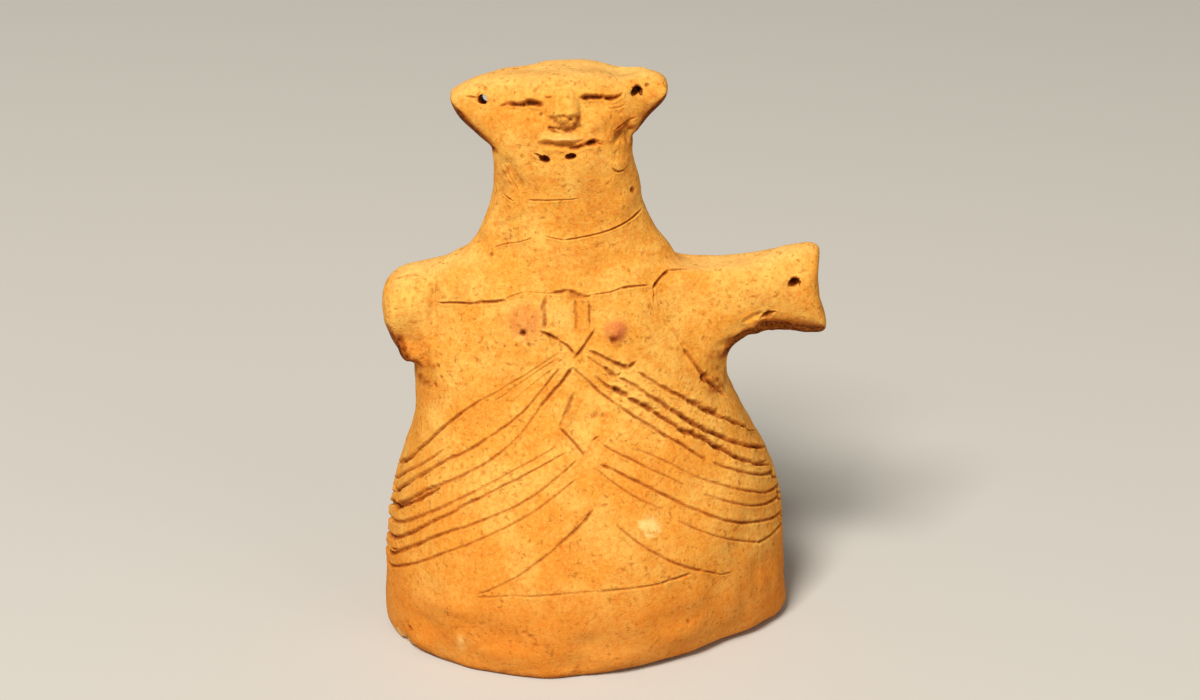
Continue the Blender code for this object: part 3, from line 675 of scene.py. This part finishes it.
for number, (place, radius, depth, pit_darkening) in enumerate(pits):
    off = np.linalg.norm(points - place, axis=1) / (radius * MM)
    chosen = np.flatnonzero(off < 1.6)
    share = off[chosen] * (1 + 0.35 * unevenness(points[chosen], 0.8, 300 + number))
    raised[chosen] -= depth * bell(share)
    soil[chosen] = np.maximum(soil[chosen], pit_darkening * bell(share * 0.8))

# A faint pale ring round the flatter breast.
ring = near(-15.2, 91.2, 5.2, 5.2) * (1 + 0.15 * unevenness(points, 2.0, 30))
pale_and_highlight = np.maximum(pale_and_highlight, 0.14 * bell(np.abs(ring - 1) * 3))

# Pale rubbed places, then soil caught on the skin and painted shade. Place, half sizes and strength.
RUBBED_PLACES = (
    (16.0, 40.8, 2.7, 1.9, 0.8), (17.6, 38.8, 1.6, 1.4, 0.8), (-33.0, 8.2, 0.5, 2.6, 0.5),
    (-48.2, 1.8, 3.0, 2.0, 0.5), (-4.9, 92.5, 2.0, 4.0, 0.12),
)
for across, height, half_across, half_up, strength in RUBBED_PLACES:
    share = near(across, height, half_across, half_up) * (1 + 0.5 * unevenness(points, 1.5, 31))
    pale_and_highlight = np.maximum(pale_and_highlight, strength * np.clip(3 * (1 - share), 0, 1))
# Painted shade, with some soil: the patches along the stump's underside, under both ears, in the
# neck's crease, in the armpit, round the seam's pit and along the arm's underside. The rest are soil.
SOIL_AND_SHADE_PLACES = (
    (-46.5, 81.0, 6.0, 4.0, 0.60), (-49.0, 82.0, 3.0, 3.5, 1.10), (-46.8, 78.5, 3.0, 3.5, 1.30),
    (-44.8, 75.0, 3.0, 3.5, 1.30), (-42.8, 71.5, 3.0, 3.5, 1.00), (-41.0, 76.5, 3.5, 5.0, 0.60),
    (-25.9, 65.1, 4.0, 2.6, 0.34), (1.0, 118.0, 13.0, 6.0, 0.34), (-3.0, 97.9, 3.5, 1.4, 0.50),
    (9.5, 140.5, 4.0, 3.5, 0.80), (12.2, 138.0, 2.6, 4.5, 1.30), (35.0, 78.5, 3.5, 4.5, 0.75),
    (41.5, 81.5, 5.5, 3.0, 1.20), (49.5, 83.6, 6.0, 2.6, 1.30), (58.5, 83.6, 6.5, 2.0, 1.10),
    (-32.0, 9.0, 15.0, 4.0, 0.40), (5.0, 12.5, 14.0, 3.0, 0.32), (-20.4, 128.0, 3.0, 7.0, 0.60),
    (-4.0, 66.0, 4.0, 6.5, 0.36), (27.0, 80.0, 4.0, 9.0, 0.30), (35.0, 71.0, 4.0, 6.0, 0.90),
    (-29.0, 141.0, 5.0, 4.0, 0.40), (17.0, 143.0, 4.0, 5.0, 0.70), (-22.0, 108.5, 4.0, 2.0, 0.40),
    (52.0, 12.0, 8.0, 12.0, 0.30),
)
patchy = np.clip(0.62 + 0.5 * unevenness(points, 2.2, 32) + 0.6 * unevenness(points, 1.0, 33), 0.1, 1)
for across, height, half_across, half_up, strength in SOIL_AND_SHADE_PLACES:
    soil = np.maximum(soil, strength * patchy * bell(near(across, height, half_across, half_up) * 0.8))

# Painted highlight: surfaces that face up are paler.
pale_and_highlight = np.maximum(pale_and_highlight, 0.35 * np.clip(1.6 * normals[:, 2] - 0.75, 0, 1))
# Painted shade: surfaces facing down, from 40 mm up, are darkened, less where they face the back.
painted_under_shade = np.clip(-4.5 * normals[:, 2] - 0.80, 0, 1) * np.clip((z_mm - 40) / 20, 0, 1)
painted_under_shade *= np.interp(normals[:, 1], (-0.1, 0.6), (1, 0.5))
soil = np.maximum(soil, 1.10 * painted_under_shade * (0.75 + 0.25 * patchy))
# The lowest few millimetres of the skirt are darker.
soil = np.maximum(soil, 0.75 * np.clip(1 - z_mm / 3.5, 0, 1) * patchy)

# The lump as worked: every point moves along its own way out, and the lowest edge is rubbed round,
# more on the right than on the left.
EDGE_SIDES = (-40, 45)
EDGE_RUBS = (1.8, 4.2)
points += normals * (raised * MM)[:, None]
edge_rub = np.interp(x_mm, EDGE_SIDES, EDGE_RUBS) * (1 + 0.3 * unevenness(points, 9, 50))
lift = np.clip(1 - points[:, 2] / (edge_rub * MM), 0, 1)
rub = edge_rub * (1 - np.sqrt(1 - lift ** 2)) * MM
level_way = normals[:, :2] / np.maximum(np.linalg.norm(normals[:, :2], axis=1), 1e-6)[:, None]
points[:, :2] -= level_way * rub[:, None]
fine.vertices.foreach_set("co", points.ravel())
for name, values in (("soil", soil), ("blush", blush), ("pale_and_highlight", pale_and_highlight)):
    fine.attributes.new(name, "FLOAT", "POINT").data.foreach_set("value", values.astype(np.float32))
lump.data = fine


# The holes. Both ears, the hand and the chin were pierced with a thin stick while the clay was soft,
# not quite straight. The underside is flat where the figurine stood to dry.

# About how many triangles the lump keeps, how many sides a hole has and how uneven its wall is, then
# the size in metres of the block that cuts the underside flat.
TRIANGLES = 192000
HOLE_SIDES = 28
HOLE_SWELL = 0.10
GROUND_BLOCK = 0.3
# Painted shade darkens a hole from this depth in millimetres, out to this share of its diameter.
HOLE_SHADE_FROM, HOLE_SHADE_OUT = 0.7, 0.68

# Place from the front, diameter, how much wider than high, how far it is turned, its length and the
# stick's direction.
Hole = namedtuple("Hole", "across height diameter stretch turn length way")
HOLES = (
    Hole(-26.0, 147.0, 2.8, 1.0, 0, 40, (0.10, 1, -0.25)),
    Hole(13.3, 149.0, 2.5, 1.3, 35, 40, (-0.10, 1, 0.05)),
    Hole(54.4, 97.4, 2.9, 1.15, 40, 40, (0.05, 1, 0.05)),
    Hole(-10.0, 133.6, 2.4, 1.15, -20, 6.4, (0, 1, 0)),
    Hole(-3.4, 134.6, 2.2, 1.4, 15, 6.4, (0, 1, 0)),
)


def drilled(obj):
    """Cuts the holes and the flat underside out of the lump."""
    tools = bmesh.new()
    for hole in HOLES:
        point = Vector(front_point(hole.across, hole.height))
        way = Vector((0, 0, 1)).rotation_difference(Vector(hole.way)).to_matrix().to_4x4()
        tilt = Matrix.Rotation(math.radians(-hole.turn), 4, "Y")
        place = Matrix.Translation(point) @ tilt @ Matrix.Diagonal((hole.stretch, 1, 1, 1)) @ way
        made = bmesh.ops.create_cone(
            tools, cap_ends=True, segments=HOLE_SIDES, radius1=hole.diameter / 2 * MM,
            radius2=hole.diameter / 2 * MM, depth=hole.length * MM, matrix=place)
        for vertex in made["verts"]:
            swell = HOLE_SWELL * unevenness(np.array([vertex.co]) * (1, 0.05, 1), 1.3, 60)[0]
            axis = point + Vector(hole.way) * ((vertex.co.y - point.y) / hole.way[1])
            vertex.co += (vertex.co - axis) * swell
    ground = Matrix.Translation((0, 0, -GROUND_BLOCK / 2)) @ Matrix.Scale(GROUND_BLOCK, 4)
    bmesh.ops.create_cube(tools, size=1, matrix=ground)
    tool = add_mesh_object("drills", tools)
    thin = obj.modifiers.new("thin", "DECIMATE")
    thin.ratio = min(1, TRIANGLES / (2 * len(obj.data.polygons)))
    cutting = obj.modifiers.new("cut", "BOOLEAN")
    cutting.operation = "DIFFERENCE"
    cutting.solver = "EXACT"
    cutting.object = tool
    mesh = evaluated_mesh(obj)
    obj.modifiers.clear()
    bpy.data.objects.remove(tool)
    return mesh


lump.data = drilled(lump)
lump.data.name = "fired_clay_figurine"
lump.data.shade_smooth()

# Painted shade: the inside of each hole is darkened.
points = read_points(lump.data)
soil = np.empty(len(points), np.float32)
lump.data.attributes["soil"].data.foreach_get("value", soil)
for hole in HOLES:
    away = points - front_point(hole.across, hole.height)
    way = np.array(Vector(hole.way).normalized())
    inward = away @ way
    off = np.linalg.norm(away - inward[:, None] * way, axis=1)
    reached = (inward > HOLE_SHADE_FROM * MM) & (inward < (hole.length / 2 + 1) * MM)
    inside = (off < HOLE_SHADE_OUT * hole.diameter * MM) & reached
    soil[inside] = np.maximum(soil[inside], 1.0)
lump.data.attributes["soil"].data.foreach_set("value", soil)


# Earthenware: coarse iron-bearing clay fired in an open fire, burnt a warm orange that drifts to
# buff and red. It is matt and sandy, with dark specks of grit, and red-brown soil and painted shade
# in every groove, hole and underside.

def srgb(code):
    """A hex colour as Blender's linear red, green, blue and alpha."""
    values = [int(code[i:i + 2], 16) / 255 for i in (0, 2, 4)]
    linear = [v / 12.92 if v <= 0.04045 else ((v + 0.055) / 1.055) ** 2.4 for v in values]
    return (*linear, 1.0)


def add_node(tree, kind, inputs=None, **settings):
    """Adds a shader node, sets its options and fills or links its inputs."""
    made = tree.nodes.new(kind)
    for name, value in settings.items():
        setattr(made, name, value)
    for socket, value in (inputs or {}).items():
        if isinstance(value, bpy.types.NodeSocket):
            tree.links.new(value, made.inputs[socket])
        else:
            made.inputs[socket].default_value = value
    return made


CLAY_ORANGE = srgb("DC9536")
CLAY_BUFF = srgb("EABB5E")
CLAY_RED = srgb("CE6F1E")
CLAY_PALE = srgb("F3CE82")
CLAY_PINK = srgb("CB6E3E")
SOIL_AND_SHADE_BROWN = srgb("8E3A06")
DEEP_SOIL_AND_SHADE = srgb("451B03")
GRIT = srgb("A65E1E")

earthenware = bpy.data.materials.new("earthenware")
earthenware.use_nodes = True
tree = earthenware.node_tree
shader = tree.nodes["Principled BSDF"]
place = add_node(tree, "ShaderNodeTexCoord").outputs["Object"]


def clouds(size, detail=3.0, roughness=0.55, shift=0.0):
    """Cloudy values whose patches are about this many millimetres wide."""
    moved = add_node(tree, "ShaderNodeMapping", {"Vector": place, "Location": (shift, shift, shift)})
    return add_node(tree, "ShaderNodeTexNoise", {
        "Vector": moved.outputs["Vector"], "Scale": 1 / (size * MM), "Detail": detail,
        "Roughness": roughness}).outputs["Fac"]


def span(value, low, high, to_low=0.0, to_high=1.0):
    """Stretches a value from one range to another, smoothly and without going past its ends."""
    return add_node(tree, "ShaderNodeMapRange", {
        "Value": value, "From Min": low, "From Max": high, "To Min": to_low, "To Max": to_high},
        interpolation_type="SMOOTHSTEP").outputs["Result"]


def blend(share, first, second):
    """Mixes two colours by a share."""
    mixed = add_node(tree, "ShaderNodeMix", {"Factor": share}, data_type="RGBA")
    for socket, colour in ((mixed.inputs[6], first), (mixed.inputs[7], second)):
        if isinstance(colour, bpy.types.NodeSocket):
            tree.links.new(colour, socket)
        else:
            socket.default_value = colour
    return mixed.outputs[2]


def reckon(operation, first, second):
    """One sum on two values."""
    return add_node(tree, "ShaderNodeMath", {0: first, 1: second}, operation=operation).outputs[0]


def painted(name):
    """A value that the modelled surface carries."""
    return add_node(tree, "ShaderNodeAttribute", attribute_name=name).outputs["Fac"]


# Wide patches of buff and red from the open fire, then the fine grain of the clay.
colour = blend(span(clouds(14, 6.0, 0.65), 0.40, 0.62, 0.0, 0.72), CLAY_ORANGE, CLAY_BUFF)
colour = blend(span(clouds(20, 6.0, 0.65, 3.1), 0.50, 0.70, 0.0, 0.45), colour, CLAY_RED)
colour = blend(span(clouds(3.6, 5.0, 0.7, 2.2), 0.50, 0.68, 0.0, 0.45), colour, CLAY_RED)
colour = blend(span(clouds(1.3, 4.0, 0.7, 1.7), 0.42, 0.68, 0.0, 0.52), colour, CLAY_RED)
colour = blend(span(clouds(0.9, 5.0, 0.75, 7.3), 0.45, 0.70, 0.0, 0.50), colour, CLAY_BUFF)
# Painted shade: the skirt turns redder towards the foot.
height = add_node(tree, "ShaderNodeSeparateXYZ", {"Vector": place}).outputs["Z"]
colour = blend(span(height, 75 * MM, 20 * MM, 0.0, 0.22), colour, CLAY_RED)
colour = blend(span(height, 28 * MM, 14 * MM, 0.0, 0.42), colour, CLAY_RED)
# The pink of the breasts and the rubbed places, then specks of grit in clusters.
colour = blend(painted("blush"), colour, CLAY_PINK)
colour = blend(painted("pale_and_highlight"), colour, CLAY_PALE)
specks = span(clouds(1.3, 2.0, 0.55, 5.0), 0.55, 0.72)
grains = reckon("MULTIPLY", specks, span(clouds(7, shift=9.0), 0.35, 0.6, 0.3, 0.9))
colour = blend(reckon("MULTIPLY", grains, 0.7), colour, GRIT)
# Soil and painted shade, brown where it is thin and nearly black where it is thick.
soil_and_shade_amount = reckon("MULTIPLY", painted("soil"), span(clouds(0.8, 3.0, 0.6), 0.25, 0.7, 0.85, 1.15))
colour = blend(span(soil_and_shade_amount, 0.03, 0.85, 0.0, 0.82), colour, SOIL_AND_SHADE_BROWN)
colour = blend(span(soil_and_shade_amount, 0.80, 1.15, 0.0, 0.85), colour, DEEP_SOIL_AND_SHADE)
tree.links.new(colour, shader.inputs["Base Color"])
# Unglazed clay hardly shines.
tree.links.new(span(clouds(2.5), 0.3, 0.7, 0.78, 0.95), shader.inputs["Roughness"])
shader.inputs["Specular IOR Level"].default_value = 0.08
# A sandy skin, with a dip at every speck.
sand = reckon("ADD", clouds(0.5, 4.0), reckon("MULTIPLY", clouds(1.7, 3.0), 1.2))
pitted = reckon("SUBTRACT", sand, reckon("MULTIPLY", grains, 0.5))
bump = add_node(tree, "ShaderNodeBump", {"Height": pitted, "Strength": 0.8, "Distance": 0.22 * MM})
tree.links.new(bump.outputs["Normal"], shader.inputs["Normal"])
lump.data.materials.clear()
lump.data.materials.append(earthenware)

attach(lump, "root")
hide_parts("figurine")


# The floor: plain pale card, wide enough to fill the view.

FLOOR_WIDTH = 6.0
sheet = bmesh.new()
bmesh.ops.create_grid(sheet, x_segments=1, y_segments=1, size=FLOOR_WIDTH / 2)
floor = add_mesh_object("floor", sheet)
card = bpy.data.materials.new("pale_card")
card.use_nodes = True
card.node_tree.nodes["Principled BSDF"].inputs["Base Color"].default_value = srgb("C6C4C0")
card.node_tree.nodes["Principled BSDF"].inputs["Roughness"].default_value = 0.95
floor.data.materials.append(card)


# Studio light: one large soft lamp above and in front on the left, a weak one on the right and a
# pale room.

LAMP_AIM = Vector((0, 0, 0.08))


def add_lamp(name, place, width, power, tint):
    lamp = bpy.data.lights.new(name, "AREA")
    lamp.size = width
    lamp.energy = power
    lamp.color = tint
    obj = bpy.data.objects.new(name, lamp)
    obj.location = place
    obj.rotation_euler = (LAMP_AIM - Vector(place)).to_track_quat("-Z", "Y").to_euler()
    bpy.context.scene.collection.objects.link(obj)


add_lamp("key_lamp", (-0.70, -1.50, 2.20), 0.85, 97, (1.0, 0.95, 0.86))
add_lamp("fill_lamp", (0.9, -0.8, 0.5), 0.8, 3.0, (1.0, 0.88, 0.70))
room = bpy.data.worlds.new("room")
room.use_nodes = True
room.node_tree.nodes["Background"].inputs["Color"].default_value = srgb("F4EDE2")
room.node_tree.nodes["Background"].inputs["Strength"].default_value = 0.20
bpy.context.scene.world = room


# The camera looks down a little from in front, from most of a metre away.

ELEVATION = math.radians(24)
DISTANCE = 0.760
AIM = Vector((0.004, 0, 0.0756))
VIEW_WIDTH = 0.3185
SENSOR_WIDTH = 36
camera_data = bpy.data.cameras.new("camera")
camera_data.sensor_width = SENSOR_WIDTH
camera_data.lens = SENSOR_WIDTH * DISTANCE / VIEW_WIDTH
camera = bpy.data.objects.new("camera", camera_data)
camera.location = AIM + Vector((0, -math.cos(ELEVATION), math.sin(ELEVATION))) * DISTANCE
camera.rotation_euler = (math.pi / 2 - ELEVATION, 0, 0)
bpy.context.scene.collection.objects.link(camera)
bpy.context.scene.camera = camera
bpy.context.scene.view_settings.view_transform = "Standard"
